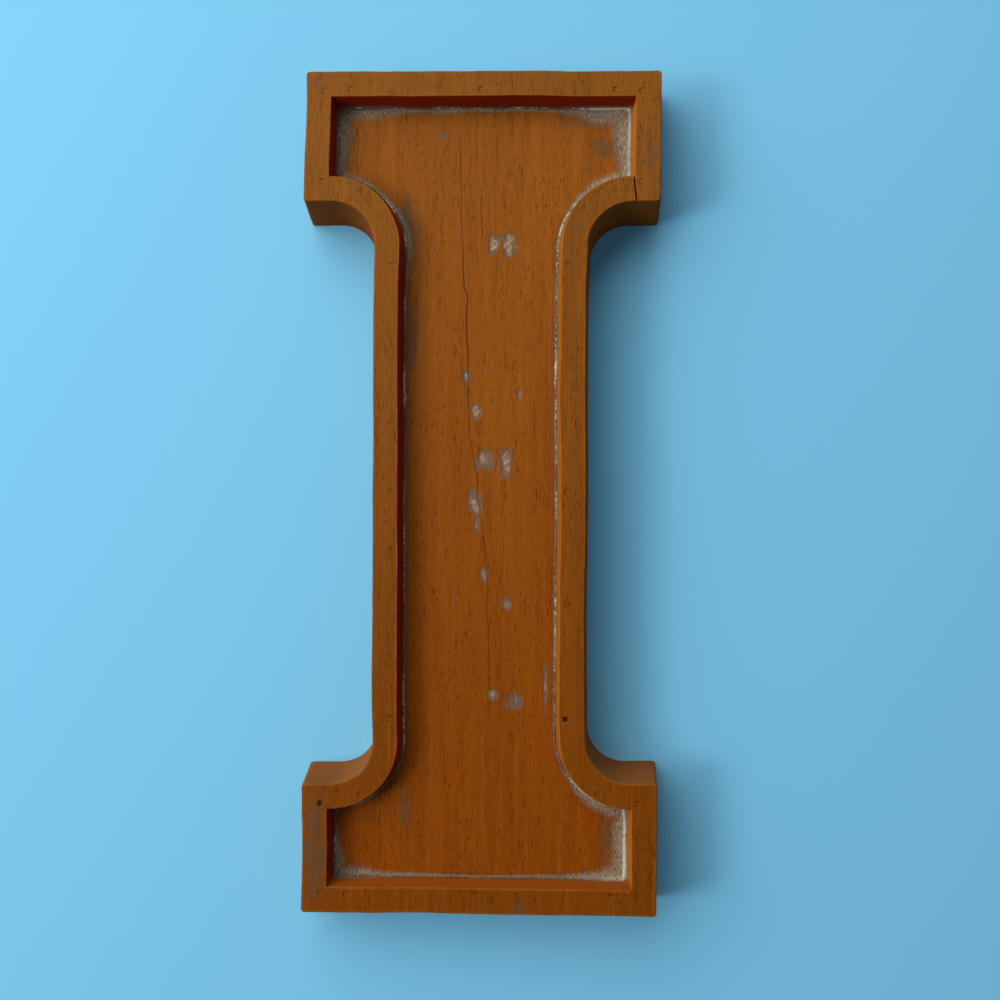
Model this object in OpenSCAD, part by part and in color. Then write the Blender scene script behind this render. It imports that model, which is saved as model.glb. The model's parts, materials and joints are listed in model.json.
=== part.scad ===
// Painted hardwood capital I with slab serifs and a sunk panel inside a raised border.
// The letter lies on its back, with X to its right, Y to its top and Z out of its face.
// The origin is the centre of the flat back.

/* [Letter] */
// Height of the front face
face_h = 300; // [240:5:400]
// Width of the front face across the serifs
serif_w = 127; // [110:1:180]
// Height of each slab serif on the front face
serif_h = 46; // [36:1:70]
// Width of the stem on the front face
stem_w = 76; // [56:1:90]
// Radius of the hollow bracket between serif and stem, on the front face
bracket_r = 16; // [8:1:22]
// Thickness from the flat back to the front face
thick = 24; // [20:1:34]
// Slope of the outer walls from upright, in degrees
outer_draft = 5; // [0:0.5:7]

/* [Panel] */
// Width of the raised border on the front face
border_w = 9; // [6:0.5:12]
// Depth of the sunk panel, which is the thickness of the border pieces
panel_depth = 8; // [5:0.5:11]
// Slope of the panel walls from upright, in degrees
panel_draft = 8; // [2:0.5:14]
// Leg of the putty bead that fills the angle between panel and border
putty_leg = 1.5; // [0.75:0.25:3]

/* [Brads] */
// Diameter of the shank of a brad
brad_d = 1; // [0.8:0.1:1.6]
// Length of a brad from the top of its head to its point
brad_len = 15; // [12:0.5:18]
// Length of the tapered point
point_len = 1.5; // [1:0.25:3]
// Diameter of the head
head_d = 1.7; // [1.4:0.1:2.2]
// Thickness of the head
head_t = 0.5; // [0.4:0.1:0.8]
// Depth of the top of the head below the front face
head_sink = 1; // [0.5:0.25:2]
// Room round a brad or a putty stopping in its hole
hole_gap = 0.02; // [0.01:0.01:0.04]
// Distance from the end of a border piece to its first brad
brad_margin = 7; // [4:0.5:9]
// Distance of the brads from the edge of the panel
brad_inset = 2.3; // [1.7:0.1:3]
// Brads along each rail
rail_brads = 3; // [2:1:5]
// Brads along the straight run of each stem side
side_brads = 3; // [2:1:6]
// Turn of the bracket brads from square to the stem, in degrees
bracket_turn = 60; // [45:5:70]

/* [Hidden] */
$fn = 64;

// Distance that a cut runs past the solid that it cuts
past = 1;
// Height of the panel, where the border pieces sit on the board
seat_z = thick - panel_depth;
// Half the length of the gap between the serifs on the front face
gap_half = face_h / 2 - serif_h;
// Centre of a hollow bracket, which the panel corner shares
bracket_x = stem_w / 2 + bracket_r;
bracket_y = gap_half - bracket_r;
// Half width of the joints where the rails and stem sides meet the serif ends
joint_half = serif_w / 2 - border_w;
// Lines of the brads
end_brad_x = joint_half + brad_inset;
rail_brad_y = face_h / 2 - border_w + brad_inset;
side_brad_x = stem_w / 2 - border_w + brad_inset;
bracket_brad_r = bracket_r + border_w - brad_inset;
// Farthest brads from the middle of a rail and of a stem side
rail_reach = joint_half - brad_margin;
side_reach = bracket_y - brad_margin;

wood_paint = [0.56, 0.31, 0.12];
board_paint = [0.52, 0.27, 0.06];
putty_grey = [0.55, 0.52, 0.44];
brad_steel = [0.45, 0.44, 0.43];

// How far the outer walls stand out from the front outline at a height
function outer_spread(z) = (thick - z) * tan(outer_draft);
// The same for the panel walls, which stand in from it
function panel_spread(z) = -border_w - (thick - z) * tan(panel_draft);
// The same for the slope of the putty bead
function putty_spread(z) =
    panel_spread(seat_z) - putty_leg
    + (z - seat_z) * (panel_spread(seat_z + putty_leg) - panel_spread(seat_z) + putty_leg) / putty_leg;
// Evenly spaced places from -reach to reach
function spaced(count, reach) = [for (i = [0 : count - 1]) reach * (2 * i / (count - 1) - 1)];

function end_places(sx, sy) = [
    for (y = [gap_half + brad_margin, face_h / 2 - brad_margin]) [sx * end_brad_x, sy * y]
];
function rail_places(sy) = [for (x = spaced(rail_brads, rail_reach)) [x, sy * rail_brad_y]];
function side_places(sx) = concat(
    [for (y = spaced(side_brads, side_reach)) [sx * side_brad_x, y]],
    [for (sy = [-1, 1]) [
        sx * (bracket_x - bracket_brad_r * cos(bracket_turn)),
        sy * (bracket_y + bracket_brad_r * sin(bracket_turn))
    ]]
);
brad_places = concat(
    [for (sx = [-1, 1], sy = [-1, 1], place = end_places(sx, sy)) place],
    [for (sy = [-1, 1], place = rail_places(sy)) place],
    [for (sx = [-1, 1], place = side_places(sx)) place]
);
// The two brads whose holes were left unstopped
open_places = [end_places(-1, -1)[0], side_places(1)[0]];
stopped_places = [for (place = brad_places) if (len([for (open = open_places) if (open == place) 1]) == 0) place];

// Prism along Y whose section narrows or widens from z0 to z1
module prism_y(x0, x1, z0, z1, half_y) {
    rotate([90, 0, 0])
        linear_extrude(height = 2 * half_y, center = true)
            polygon([[x0[0], z0], [x1[0], z0], [x1[1], z1], [x0[1], z1]]);
}

// Prism along X, from x0 to x1, whose section narrows or widens from z0 to z1
module prism_x(y0, y1, z0, z1, x0, x1) {
    translate([x0, 0, 0])
        rotate([90, 0, 90])
            linear_extrude(height = x1 - x0)
                polygon([[y0[0], z0], [y1[0], z0], [y1[1], z1], [y0[1], z1]]);
}

// Space beside the stem, between the serifs, for an outline spread by spread[0] at z0 and spread[1] at z1
module stem_gap(z0, z1, spread) {
    far = serif_w;
    half = [gap_half - spread[0], gap_half - spread[1]];
    prism_y([stem_w / 2 + spread[0], stem_w / 2 + spread[1]], [far, far], z0, z1, bracket_y);
    prism_x(-half, half, z0, z1, bracket_x, far);
    for (sy = [-1, 1])
        translate([bracket_x, sy * bracket_y, z0])
            cylinder(h = z1 - z0, r1 = bracket_r - spread[0], r2 = bracket_r - spread[1]);
}

// Solid of the letter's outline between two heights, spread by spread[0] at z0 and spread[1] at z1
module letter_solid(z0, z1, spread) {
    rise = (spread[1] - spread[0]) / (z1 - z0) * past;
    wide = [serif_w / 2 + spread[0], serif_w / 2 + spread[1]];
    high = [face_h / 2 + spread[0], face_h / 2 + spread[1]];
    difference() {
        intersection() {
            prism_y(-wide, wide, z0, z1, face_h);
            prism_x(-high, high, z0, z1, -serif_w, serif_w);
        }
        for (side = [0, 1])
            mirror([side, 0, 0])
                stem_gap(z0 - past, z1 + past, [spread[0] - rise, spread[1] + rise]);
    }
}

// Slice of the letter inside its outer walls
module outer_solid(z0, z1) {
    letter_solid(z0, z1, [outer_spread(z0), outer_spread(z1)]);
}

// All that lies between the two joints where the rails and stem sides meet the serif ends
module between_joints() {
    low = serif_w / 2 + panel_spread(seat_z - past);
    high = serif_w / 2 + panel_spread(thick + past);
    prism_y([-low, -high], [low, high], seat_z - past, thick + past, face_h);
}

// All that lies beyond the panel's top wall
module above_panel() {
    low = face_h / 2 + panel_spread(seat_z - past);
    high = face_h / 2 + panel_spread(thick + past);
    prism_x([low, high], [face_h, face_h], seat_z - past, thick + past, -serif_w, serif_w);
}

// All that lies above the middle of the letter on its right side
module top_right_quarter() {
    translate([0, 0, seat_z - past])
        cube([serif_w, face_h, panel_depth + 2 * past]);
}

// Hole for a brad and its head
module brad_hole() {
    translate([0, 0, thick - head_sink - brad_len])
        cylinder(h = brad_len, r = brad_d / 2 + hole_gap);
    translate([0, 0, thick - head_sink - head_t - hole_gap])
        cylinder(h = head_sink + head_t + hole_gap + past, r = head_d / 2 + hole_gap);
}

module brad_holes(places) {
    for (place = places)
        translate([place[0], place[1], 0])
            brad_hole();
}

module back_board() {
    color(board_paint)
        difference() {
            outer_solid(0, seat_z);
            brad_holes(brad_places);
        }
}

module rail(sy) {
    color(wood_paint)
        difference() {
            intersection() {
                outer_solid(seat_z, thick);
                between_joints();
                mirror([0, sy < 0 ? 1 : 0, 0])
                    above_panel();
            }
            brad_holes(rail_places(sy));
        }
}

module serif_end(sx, sy) {
    color(wood_paint)
        difference() {
            intersection() {
                outer_solid(seat_z, thick);
                mirror([sx < 0 ? 1 : 0, 0, 0])
                    mirror([0, sy < 0 ? 1 : 0, 0])
                        top_right_quarter();
            }
            between_joints();
            brad_holes(end_places(sx, sy));
        }
}

module stem_side(sx) {
    color(wood_paint)
        difference() {
            intersection() {
                outer_solid(seat_z, thick);
                between_joints();
                mirror([sx < 0 ? 1 : 0, 0, 0])
                    stem_gap(seat_z - past, thick + past, [panel_spread(seat_z - past), panel_spread(thick + past)]);
            }
            brad_holes(side_places(sx));
        }
}

module top_rail() { rail(1); }
module bottom_rail() { rail(-1); }
module top_left_end() { serif_end(-1, 1); }
module top_right_end() { serif_end(1, 1); }
module bottom_left_end() { serif_end(-1, -1); }
module bottom_right_end() { serif_end(1, -1); }
module left_stem_side() { stem_side(-1); }
module right_stem_side() { stem_side(1); }

// Bead of putty all round the foot of the panel walls
module panel_putty() {
    top_z = seat_z + putty_leg;
    color(putty_grey)
        difference() {
            letter_solid(seat_z, top_z, [panel_spread(seat_z), panel_spread(top_z)]);
            letter_solid(seat_z - past, top_z + past, [putty_spread(seat_z - past), putty_spread(top_z + past)]);
        }
}

module brad() {
    translate([0, 0, -head_t])
        cylinder(h = head_t, r = head_d / 2);
    translate([0, 0, point_len - brad_len])
        cylinder(h = brad_len - point_len - head_t, r = brad_d / 2);
    translate([0, 0, -brad_len])
        cylinder(h = point_len, r1 = 0, r2 = brad_d / 2);
}

module brads() {
    color(brad_steel)
        for (place = brad_places)
            translate([place[0], place[1], thick - head_sink])
                brad();
}

// Putty over the sunk heads, all but the two that were left open
module brad_stoppings() {
    color(putty_grey)
        for (place = stopped_places)
            translate([place[0], place[1], thick - head_sink])
                cylinder(h = head_sink, r = head_d / 2);
}

back_board();
top_rail();
bottom_rail();
top_left_end();
top_right_end();
bottom_left_end();
bottom_right_end();
left_stem_side();
right_stem_side();
panel_putty();
brads();
brad_stoppings();
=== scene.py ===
"""Painted hardwood capital I with a sunk panel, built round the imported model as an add-on's operators."""
import json
import math

import bpy
import numpy as np
from bpy.props import FloatProperty, FloatVectorProperty, IntProperty, PointerProperty
from mathutils import Matrix, Vector
from mathutils.geometry import delaunay_2d_cdt

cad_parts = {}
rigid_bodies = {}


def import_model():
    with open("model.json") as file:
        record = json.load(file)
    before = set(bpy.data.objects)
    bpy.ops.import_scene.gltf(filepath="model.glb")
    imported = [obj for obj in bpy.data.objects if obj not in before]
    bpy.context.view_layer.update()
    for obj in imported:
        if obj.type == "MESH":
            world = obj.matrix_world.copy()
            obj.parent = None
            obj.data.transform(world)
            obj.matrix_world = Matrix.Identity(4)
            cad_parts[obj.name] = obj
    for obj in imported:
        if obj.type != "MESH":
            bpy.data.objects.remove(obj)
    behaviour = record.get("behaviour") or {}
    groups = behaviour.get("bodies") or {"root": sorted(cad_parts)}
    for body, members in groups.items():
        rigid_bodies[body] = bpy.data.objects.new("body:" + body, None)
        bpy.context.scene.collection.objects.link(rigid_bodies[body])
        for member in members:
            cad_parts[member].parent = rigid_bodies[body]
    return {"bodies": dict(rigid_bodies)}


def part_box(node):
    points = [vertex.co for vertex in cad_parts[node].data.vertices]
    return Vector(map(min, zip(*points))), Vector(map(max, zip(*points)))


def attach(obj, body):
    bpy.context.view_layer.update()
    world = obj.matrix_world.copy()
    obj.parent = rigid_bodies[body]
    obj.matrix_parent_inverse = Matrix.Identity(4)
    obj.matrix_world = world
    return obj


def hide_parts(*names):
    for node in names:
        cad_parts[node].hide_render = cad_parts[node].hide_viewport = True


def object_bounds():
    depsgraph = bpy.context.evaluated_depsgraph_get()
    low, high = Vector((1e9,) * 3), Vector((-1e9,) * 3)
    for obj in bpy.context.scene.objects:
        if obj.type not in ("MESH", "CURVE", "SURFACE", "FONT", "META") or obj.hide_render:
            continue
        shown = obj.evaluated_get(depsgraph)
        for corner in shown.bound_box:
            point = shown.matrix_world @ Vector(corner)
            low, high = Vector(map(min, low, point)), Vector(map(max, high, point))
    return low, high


bl_info = {
    "name": "Painted sign letter",
    "version": (1, 0, 0),
    "blender": (4, 5, 0),
    "location": "3D View > Sidebar > Sign letter",
    "description": "Dresses the packed capital I in worn paint, putty and brads",
    "category": "Object",
}

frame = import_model()
CAD_LOW, CAD_HIGH = [tuple(corner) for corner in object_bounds()]

# Millimetres are used throughout, and turned into metres as a mesh is made
MM = 0.001
SEAT_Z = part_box("top_rail")[0].z / MM
FACE_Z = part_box("top_rail")[1].z / MM
BODY = next(iter(frame["bodies"]))
BACK_REACH = np.array([CAD_HIGH[0], CAD_HIGH[1]]) / MM

# Kinds of wall, as the vertex attribute "wall" holds them
TOP, OUTER, PANEL, JOINT = 0.0, 1.0, 2.0, 3.0
# Reach of a leaning joint at its foot
JOINT_LEAN = 1.5
# Turn past which a bracket's curve runs on straight to the joint
BRACKET_END = 4


def size(name, description, default, **limits):
    """A length property in millimetres."""
    return FloatProperty(name=name, description=description, default=default, **limits)


def paint(name, description, srgb):
    """A colour property whose default is given as sRGB bytes."""
    linear = [from_srgb(channel) for channel in srgb]
    return FloatVectorProperty(name=name, description=description, default=linear, size=3, subtype="COLOR",
                               min=0.0, max=1.0)


def from_srgb(byte):
    """Linear value of an sRGB byte."""
    level = byte / 255
    return level / 12.92 if level <= 0.04045 else ((level + 0.055) / 1.055) ** 2.4


class SignLetterSizes(bpy.types.PropertyGroup):
    """Sizes of the letter on its front face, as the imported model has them"""

    face_h: size("Face height", "Height of the front face in mm", 300.0, min=240.0, max=400.0)
    serif_w: size("Serif width", "Width of the face across the serifs in mm", 127.0, min=110.0, max=180.0)
    serif_h: size("Serif height", "Height of each slab serif in mm", 46.0, min=36.0, max=70.0)
    stem_w: size("Stem width", "Width of the stem in mm", 76.0, min=56.0, max=90.0)
    bracket_r: size("Bracket radius", "Radius of the hollow under a serif in mm", 16.0, min=8.0, max=22.0)
    border_w: size("Border width", "Width of the raised border in mm", 9.0, min=6.0, max=12.0)
    outer_draft: FloatProperty(name="Outer slope", description="Slope of the outer walls from upright",
                               default=math.radians(5), subtype="ANGLE")
    panel_draft: FloatProperty(name="Panel slope", description="Slope of the panel walls from upright",
                               default=math.radians(8), subtype="ANGLE")
    putty_leg: size("Putty leg", "Leg of the putty bead round the panel in mm", 1.5, min=0.5, max=3.0)
    brad_inset: size("Brad inset", "Distance of the brads from the panel's edge in mm", 2.3, min=1.7, max=3.0)
    brad_margin: size("Brad margin", "Distance from the end of a border piece to its first brad in mm", 7.0,
                      min=4.0, max=9.0)
    head_sink: size("Head depth", "Depth of a brad's head below the front face in mm", 1.0, min=0.5, max=2.0)
    head_d: size("Head diameter", "Diameter of a brad's head in mm", 1.7, min=1.4, max=2.2)
    brad_d: size("Shank diameter", "Diameter of a brad's shank in mm", 1.0, min=0.8, max=1.6)
    brad_len: size("Brad length", "Length of a brad in mm", 15.0, min=12.0, max=18.0)
    bracket_turn: FloatProperty(name="Bracket brads", description="Turn of the bracket brads from the stem",
                                default=math.radians(60), subtype="ANGLE")


class SignLetterWear(bpy.types.PropertyGroup):
    """How worn and how finely cut the surface is"""

    arris: size("Arris", "Mean radius of the worn front edges in mm", 0.5, min=0.1, max=1.0)
    corner: size("Corner round", "Radius of the serif corners from the front in mm", 1.3, min=0.3, max=3.0)
    face_step: size("Face grid", "Spacing of the border's surface points in mm", 0.55, min=0.3, max=2.0)
    floor_step: size("Floor grid", "Spacing of the panel floor's surface points in mm", 0.7, min=0.4, max=2.0)
    waver: size("Waver", "How far the hand-cut outline wanders in mm", 0.12, min=0.0, max=0.5)
    crack: size("Crack", "Width of the open joint at the top right in mm", 0.56, min=0.0, max=0.8)
    seed: IntProperty(name="Seed", description="Seed of the wear", default=7, min=0)


class SignLetterColours(bpy.types.PropertyGroup):
    """Colours of the finishes"""

    # Painted sheen: the paint is lighter and bluer at the top than at the foot, partly paint tone and partly
    # the window's sheen and light falloff
    paint_top_and_sheen: paint("Paint, top", "Brown paint at the top of the letter", (142, 80, 18))
    paint_foot: paint("Paint, foot", "Brown paint at the foot of the letter", (133, 64, 3))
    pore: paint("Pore", "Open grain under the paint", (58, 24, 2))
    bare: paint("Bare wood", "Wood and primer where the paint has chipped", (128, 103, 82))
    grime: paint("Grime", "Grey dirt in the corners and along the panel's foot", (84, 68, 46))
    # This colour also paints light on the lit panel walls
    edge: paint("Worn edge", "Paint rubbed thin along the edges", (166, 98, 26))
    # Painted shade: deep red for the panel walls that face away from the light
    painted_shade_red: paint("Inner wall", "Redder paint on the panel walls that were never handled", (124, 22, 2))
    side: paint("Outer wall", "Rubbed and dusty paint on the outer walls", (130, 96, 62))
    dust: paint("Dust", "Pale putty dust ground into the corners of the panel", (134, 126, 106))
    putty: paint("Putty", "Dirty putty along the panel's foot", (112, 101, 82))
    # This colour also paints the highlights at the foot of the lit right-hand walls and on the putty bead
    # there
    fresh_putty_and_highlight: paint("Fresh putty", "Putty where the dirt has come off", (178, 168, 146))
    steel: paint("Brad steel", "Rusty brads", (70, 52, 42))
    paper: paint("Paper", "Plain paper that the letter lies on", (119, 190, 222))


def sizes():
    return bpy.context.scene.sign_letter_sizes


def wear():
    return bpy.context.scene.sign_letter_wear


def colours():
    return bpy.context.scene.sign_letter_colours


# Noise and marks


def lattice_noise(points, cell, seed):
    """Smooth value noise from -1 to 1 at each point, with cells of the given size or sizes."""
    grid = np.asarray(points, float) / np.asarray(cell, float)
    base = np.floor(grid).astype(np.int64)
    part = grid - base
    part = part * part * (3 - 2 * part)
    axes = grid.shape[1]
    total = np.zeros(len(grid))
    for corner in range(2 ** axes):
        bits = np.array([corner >> axis & 1 for axis in range(axes)])
        key = np.full(len(grid), (seed * 7919 + 12345) & 0xffffffff, np.int64)
        for axis in range(axes):
            key = (key ^ (base[:, axis] + bits[axis]) * (374761393 + 668265263 * axis)) & 0xffffffff
            key = key * 1274126177 & 0xffffffff
            key ^= key >> 15
        value = (key & 0xffff) / 32767.5 - 1
        weight = np.prod(np.where(bits, part, 1 - part), axis=1)
        total += value * weight
    return total


def rough_noise(points, cell, seed, octaves=3):
    """Several layers of lattice noise, each half as coarse and half as strong."""
    total = np.zeros(len(points))
    for octave in range(octaves):
        total += lattice_noise(points, np.asarray(cell, float) / 2 ** octave, seed + octave) / 2 ** octave
    return total


# Marks are (x, y, half width, half height, strength), in millimetres on the face or the panel floor
CHIPS = (
    (-14.5, 129.8, 2.5, 1.6, 0.5),
    (4.5, 90.6, 2.7, 3.8, 1.0),
    (10.2, 90.4, 2.2, 4.4, 1.2),
    (-5.1, 42.1, 1.3, 3.1, 0.9),
    (-1.5, 29.5, 1.8, 2.9, 1.0),
    (14.4, 36.3, 0.7, 3.1, 0.9),
    (1.1, 44.6, 0.5, 4.5, 0.6),
    (1.3, 11.3, 3.4, 4.7, 0.9),
    (9.3, 10.8, 2.7, 5.3, 1.0),
    (-2.1, -4.4, 2.5, 5.1, 0.9),
    (-1.3, -11.4, 1.1, 3.1, 0.8),
    (1.3, -30.2, 1.5, 2.5, 0.9),
    (9.8, -40.8, 1.8, 2.7, 1.0),
    (-8.3, -38.8, 0.5, 2.4, 0.6),
    (5.2, -73.5, 2.5, 2.4, 0.8),
    (12.8, -75.8, 3.6, 4.0, 0.7),
    (24.2, -71.1, 0.9, 8.9, 0.7),
)
FACE_CHIPS = ((37.7, -30.1, 0.5, 0.7, 0.9),)
SMEARS = (
    (44.1, 125.4, 3.5, 3.8, 1.5),
    (38.4, 118.2, 1.8, 2.0, 0.6),
    (31.9, 108.2, 1.1, 1.8, 0.7),
    (-27.0, 94.3, 4.9, 13.2, 0.9),
    (-24.9, 57.6, 2.7, 16.3, 0.8),
    (-27.1, -3.0, 0.9, 7.3, 0.7),
    (-51.0, 128.7, 3.1, 14.5, 1.0),
    (-18.4, 139.0, 31.8, 1.6, 0.9),
    (-14.8, 139.5, 2.4, 2.2, 1.0),
    (40.8, 136.4, 12.7, 4.5, 1.0),
    (49.9, 128.0, 2.9, 12.9, 1.0),
    (-46.9, -139.2, 5.4, 4.2, 1.0),
    (-27.7, -114.6, 2.9, 7.8, 0.6),
    (48.4, -128.3, 6.4, 15.4, 0.7),
    (42.1, -138.8, 12.7, 3.1, 0.8),
)
FACE_SMEARS = (
    (59.5, 120.7, 3.0, 8.0, 0.65),
    (-58.8, -127.2, 4.3, 20.5, 0.9),
    (-60.3, -128.1, 3.2, 7.1, 1.2),
    (61.7, 112.0, 0.6, 0.8, 1.2),
    (62.0, 107.0, 1.3, 1.1, 1.0),
    (14.6, -147.5, 2.3, 1.8, 1.1),
    (-58.9, 146.1, 4.3, 4.1, 0.6),
)
# Putty dust in the panel's corners: (x, y, reach along the wall, width out from the wall)
DEPOSITS = (
    (-50.0, 128.0, 12.0, 5.0),
    (-42.0, 139.0, 9.0, 3.0),
    (-14.0, 140.0, 4.0, 2.4),
    (8.0, 140.0, 22.0, 1.4),
    (46.0, 138.0, 9.0, 6.5),
    (52.0, 124.0, 12.0, 4.6),
    (40.0, 110.0, 6.0, 1.2),
    (-31.0, 92.0, 9.0, 3.0),
    (51.0, -122.0, 9.0, 5.0),
    (52.0, -136.0, 8.0, 4.6),
    (38.0, -113.0, 6.0, 2.6),
    (34.0, -140.0, 16.0, 1.2),
    (-50.0, -137.0, 7.0, 4.4),
    (-36.0, -140.0, 14.0, 1.6),
)
# Drying check that wanders down the panel floor, from its top to its foot
CHECK_LINE = (
    (-8.1, 129.2), (-7.6, 106.5), (-7.0, 84.6), (-6.5, 74.7), (-4.8, 71.4), (-5.0, 60.9), (-4.5, 40.8),
    (-4.2, 22.6), (-3.3, 16.4), (-1.3, 6.6), (-0.8, -1.4), (0.4, -11.3), (1.3, -17.1), (2.8, -30.9),
    (3.3, -50.1), (3.7, -71.9),
)
SHORT_CHECK = ((-0.3, 107.6), (-0.2, 91.9))
CHECK_MIDDLE = 58.0
# Where the hand-cut outline leaves the drawn one: (x, y, shift in x, shift in y)
HAND_SHIFTS = (
    (-63.5, 150.0, 0.4, 0.7), (63.5, 150.0, 0.5, 0.1), (-63.5, 104.0, -0.5, -0.1), (63.5, 104.0, 0.9, -0.4),
    (-63.5, -104.0, 0.1, -1.0), (63.5, -104.0, 0.1, 1.8),
    (-63.5, -150.0, 0.1, -0.5), (63.5, -150.0, -0.3, 0.0),
    (-54.5, 141.0, 0.7, 0.4), (-54.5, 113.0, 0.0, -0.1), (54.5, 141.0, 0.3, -0.3), (54.5, 113.0, -0.4, -0.6),
    (-54.5, -113.0, 0.8, -0.1), (-54.5, -141.0, 0.8, -0.2),
    (54.5, -113.0, -0.5, 0.2), (54.5, -141.0, 0.0, 0.1),
    (-38.0, 0.0, -0.3, 0.0), (38.0, 0.0, -0.3, 0.0), (-38.0, 50.0, -0.5, 0.0), (38.0, 50.0, -0.5, 0.0),
    (-38.0, -50.0, -0.2, 0.0), (38.0, -50.0, -0.5, 0.0), (0.0, 150.0, 0.0, 0.4), (0.0, 141.0, 0.0, 0.3),
    (0.0, -150.0, 0.0, -0.2), (0.0, -141.0, 0.0, 0.3),
)
SHIFT_REACH = 13.0
# The open crack at the top right leans out at its foot: (x, y, lean)
CRACK_FOOT = (54.5, 104.0, 0.75)


def closeness(points, marks, seed):
    """How far inside the ragged marks each point is, with 1 at a mark's middle and 0 well outside."""
    near = np.zeros(len(points))
    ragged = 0.35 * rough_noise(points, (1.6, 3.2), seed)
    for x, y, half_w, half_h, strength in marks:
        reach = np.hypot((points[:, 0] - x) / half_w, (points[:, 1] - y) / half_h)
        near = np.maximum(near, strength * np.clip(1.5 - reach + ragged, 0, 1.5) / 1.5)
    return near


def deposit_width(points):
    """How far the putty dust reaches out from the panel walls near each point."""
    width = np.full(len(points), 0.7)
    for x, y, reach, out in DEPOSITS:
        away = (points[:, 0] - x) ** 2 + (points[:, 1] - y) ** 2
        width += out * np.exp(-away / (2 * reach ** 2))
    return width


def line_distance(points, line):
    """Distance of each point from a polyline."""
    best = np.full(len(points), 1e6)
    for start, end in zip(line, line[1:]):
        start, end = np.array(start), np.array(end)
        along = end - start
        part = np.clip((points - start) @ along / (along @ along), 0, 1)
        best = np.minimum(best, np.linalg.norm(points - start - part[:, None] * along, axis=1))
    return best


def hand_shift(points):
    """Shift of each point of the drawn outline to the hand-cut one."""
    weight_sum = np.full(len(points), 0.02)
    total = np.zeros((len(points), 2))
    for x, y, shift_x, shift_y in HAND_SHIFTS:
        away = ((points[:, 0] - x) ** 2 + (points[:, 1] - y) ** 2) / SHIFT_REACH ** 2
        weight = np.exp(-away / 2)
        weight_sum += weight
        total += weight[:, None] * np.array([shift_x, shift_y])
    total /= weight_sum[:, None]
    waver = wear().waver
    total[:, 0] += waver * rough_noise(points, (9.0, 22.0), wear().seed)
    total[:, 1] += waver * rough_noise(points, (22.0, 9.0), wear().seed + 31)
    crack_x, crack_y, crack_slant = CRACK_FOOT
    away = ((points[:, 0] - crack_x) / 4.5) ** 2 + ((points[:, 1] - crack_y) / 5.0) ** 2
    total[:, 0] += crack_slant * np.exp(-away)
    return total


# Outlines


class Wall:
    """One straight or round stretch of an outline, run with the solid on its left."""

    def __init__(self, slope, kind, arris, start=None, end=None, centre=None, radius=0.0, turn=None, gap=0.0):
        self.slope = slope
        self.kind = kind
        self.arris = arris
        self.gap = gap
        self.centre = centre
        self.radius = radius
        self.turn = turn
        if centre is not None:
            start, end = self.on_arc(turn[0]), self.on_arc(turn[1])
        self.start = np.array(start, float)
        self.end = np.array(end, float)

    def on_arc(self, angle):
        angle = math.radians(angle)
        return np.array(self.centre) + self.radius * np.array([math.cos(angle), math.sin(angle)])

    def normal(self, part):
        if self.centre is None:
            along = (self.end - self.start) / np.linalg.norm(self.end - self.start)
            return np.array([along[1], -along[0]])
        angle = math.radians(self.turn[0] + part * (self.turn[1] - self.turn[0]))
        side = 1 if self.turn[1] > self.turn[0] else -1
        return side * np.array([math.cos(angle), math.sin(angle)])

    def inner_points(self, step, cut_start, cut_end):
        """Points between the wall's ends, with the trims that corner rounds take at each end."""
        if self.centre is None:
            length = np.linalg.norm(self.end - self.start)
            low, high = cut_start, length - cut_end
            if high - low < 0.5 * step:
                return
            count = max(1, round((high - low) / step))
            first = 1 if cut_start == 0 else 0
            last = count - 1 if cut_end == 0 else count
            for index in range(first, last + 1):
                part = (low + (high - low) * index / count) / length
                yield self.start + part * (self.end - self.start), self.normal(part)
        else:
            length = abs(math.radians(self.turn[1] - self.turn[0])) * self.radius
            count = max(2, round(length / step))
            for index in range(1, count):
                part = index / count
                yield self.on_arc(self.turn[0] + part * (self.turn[1] - self.turn[0])), self.normal(part)


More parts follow.
